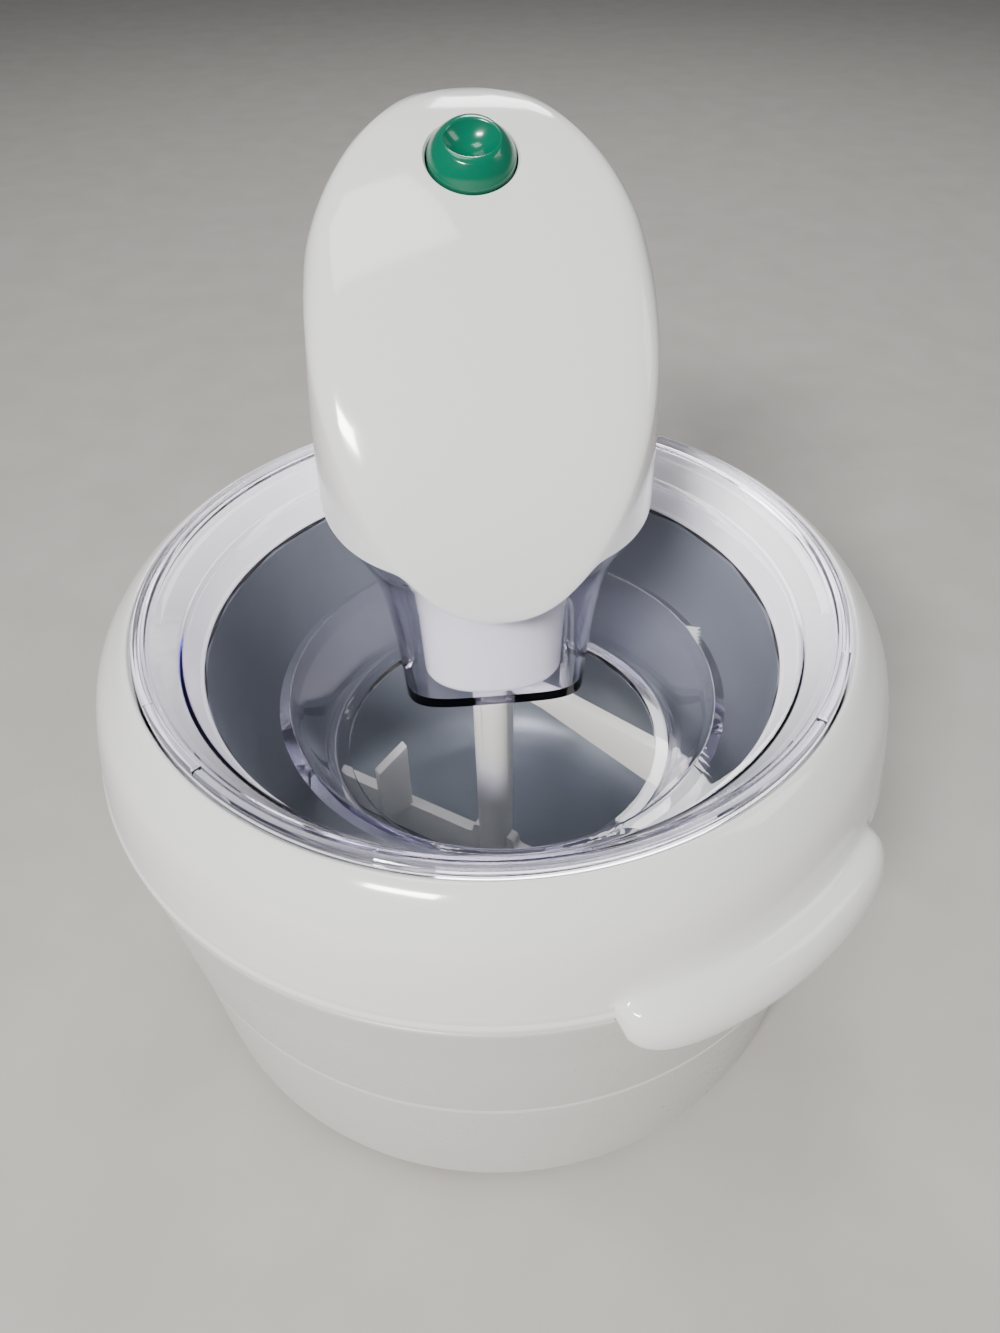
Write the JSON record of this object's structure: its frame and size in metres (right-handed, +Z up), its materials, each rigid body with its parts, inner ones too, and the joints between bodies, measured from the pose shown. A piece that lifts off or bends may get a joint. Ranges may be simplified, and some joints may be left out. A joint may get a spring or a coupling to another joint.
{
  "type": "ice cream maker",
  "caption": "Table-top ice cream maker: round housing with a lift-out freezer bowl, clear lid with a filler funnel, paddle and a motor head with a push button.",
  "frame": {"origin": "centre of the base, on the surface it stands on", "axes": "+Z up along the bowl's axis, front (filler hole and head's chin) towards -Y, +X to the right"},
  "size_m": [0.2218, 0.3287, 0.2492],
  "materials": {
    "housing_gloss": "high gloss moulded white",
    "housing_satin": "satin moulded white",
    "foam": "expanded foam",
    "rubber": "matt rubber",
    "bowl_metal": "satin grey coated metal",
    "bowl_shell": "satin",
    "coolant": "frozen gel",
    "clear_plastic": "clear, violet tint at the edges",
    "paddle_plastic": "satin ivory",
    "green_plastic": "gloss",
    "gear_plastic": "natural acetal",
    "black_plastic": "satin",
    "cord_plastic": "satin flexible",
    "steel": "zinc plated",
    "brass": "plain",
    "copper": "enamelled winding"
  },
  "bodies": {
    "housing": {"lower_housing": "housing_satin", "upper_shell": "housing_gloss", "foam_liner": "foam", "foot_1": "rubber", "foot_2": "rubber", "foot_3": "rubber", "foot_4": "rubber"},
    "bowl": {"bowl_liner": "bowl_metal", "bowl_outer": "bowl_shell", "coolant_fill": "coolant", "bowl_seal": "rubber", "bowl_rim": "housing_gloss"},
    "lid": {"lid": "clear_plastic"},
    "paddle": {"paddle": "paddle_plastic"},
    "motor_head": {"head_cover": "housing_gloss", "head_base": "housing_gloss", "sleeve_bush": "brass", "cover_screw_1": "steel", "cover_screw_2": "steel", "cover_screw_3": "steel", "cover_screw_4": "steel", "gearbox_screw_1": "steel", "gearbox_screw_2": "steel", "gearbox_screw_3": "steel", "gearbox_plate": "steel", "stage_axle": "steel", "motor_can": "steel", "motor_end_cap": "black_plastic", "stator_coil": "copper", "switch_body": "black_plastic", "strain_relief": "cord_plastic", "cord": "cord_plastic", "cord_coil": "cord_plastic", "cord_tail": "cord_plastic", "plug": "cord_plastic"},
    "output_drive": {"output_gear": "gear_plastic", "drive_sleeve": "steel"},
    "stage_wheel": {"stage_gear": "gear_plastic"},
    "rotor": {"rotor_pinion": "brass", "rotor_shaft": "steel", "rotor_core": "steel"},
    "button": {"button": "green_plastic", "switch_plunger": "black_plastic"}
  },
  "joints": [
    {"name": "bowl_lift", "type": "slide", "parent": "housing", "child": "bowl", "axis": [0, 0, 1], "range_m": [0, 0.16]},
    {"name": "lid_lift", "type": "slide", "parent": "bowl", "child": "lid", "axis": [0, 0, 1], "range_m": [0, 0.12]},
    {"name": "paddle_spin", "type": "hinge", "parent": "bowl", "child": "paddle", "pos_m": [0, 0, 0.0136], "axis": [0, 0, 1], "continuous": true},
    {"name": "head_lift", "type": "slide", "parent": "lid", "child": "motor_head", "axis": [0, 0, 1], "range_m": [0, 0.08]},
    {"name": "output_spin", "type": "hinge", "parent": "motor_head", "child": "output_drive", "pos_m": [0, 0, 0.173], "axis": [0, 0, 1], "continuous": true},
    {"name": "stage_spin", "type": "hinge", "parent": "motor_head", "child": "stage_wheel", "pos_m": [0.01358, 0.01358, 0.181], "axis": [0, 0, 1], "continuous": true},
    {"name": "rotor_spin", "type": "hinge", "parent": "motor_head", "child": "rotor", "pos_m": [-0.0052, 0.01757, 0.193], "axis": [0, 0, 1], "continuous": true},
    {"name": "button_press", "type": "slide", "parent": "motor_head", "child": "button", "axis": [0, -0.5088, 0.8609], "range_m": [-0.003, 0], "stiffness_N_per_m": 350, "springref_m": 0.002}
  ],
  "couplings": [
    {"joint": "output_spin", "follows": "paddle_spin", "ratio": 1},
    {"joint": "stage_spin", "follows": "paddle_spin", "ratio": -3},
    {"joint": "rotor_spin", "follows": "paddle_spin", "ratio": 9}
  ]
}
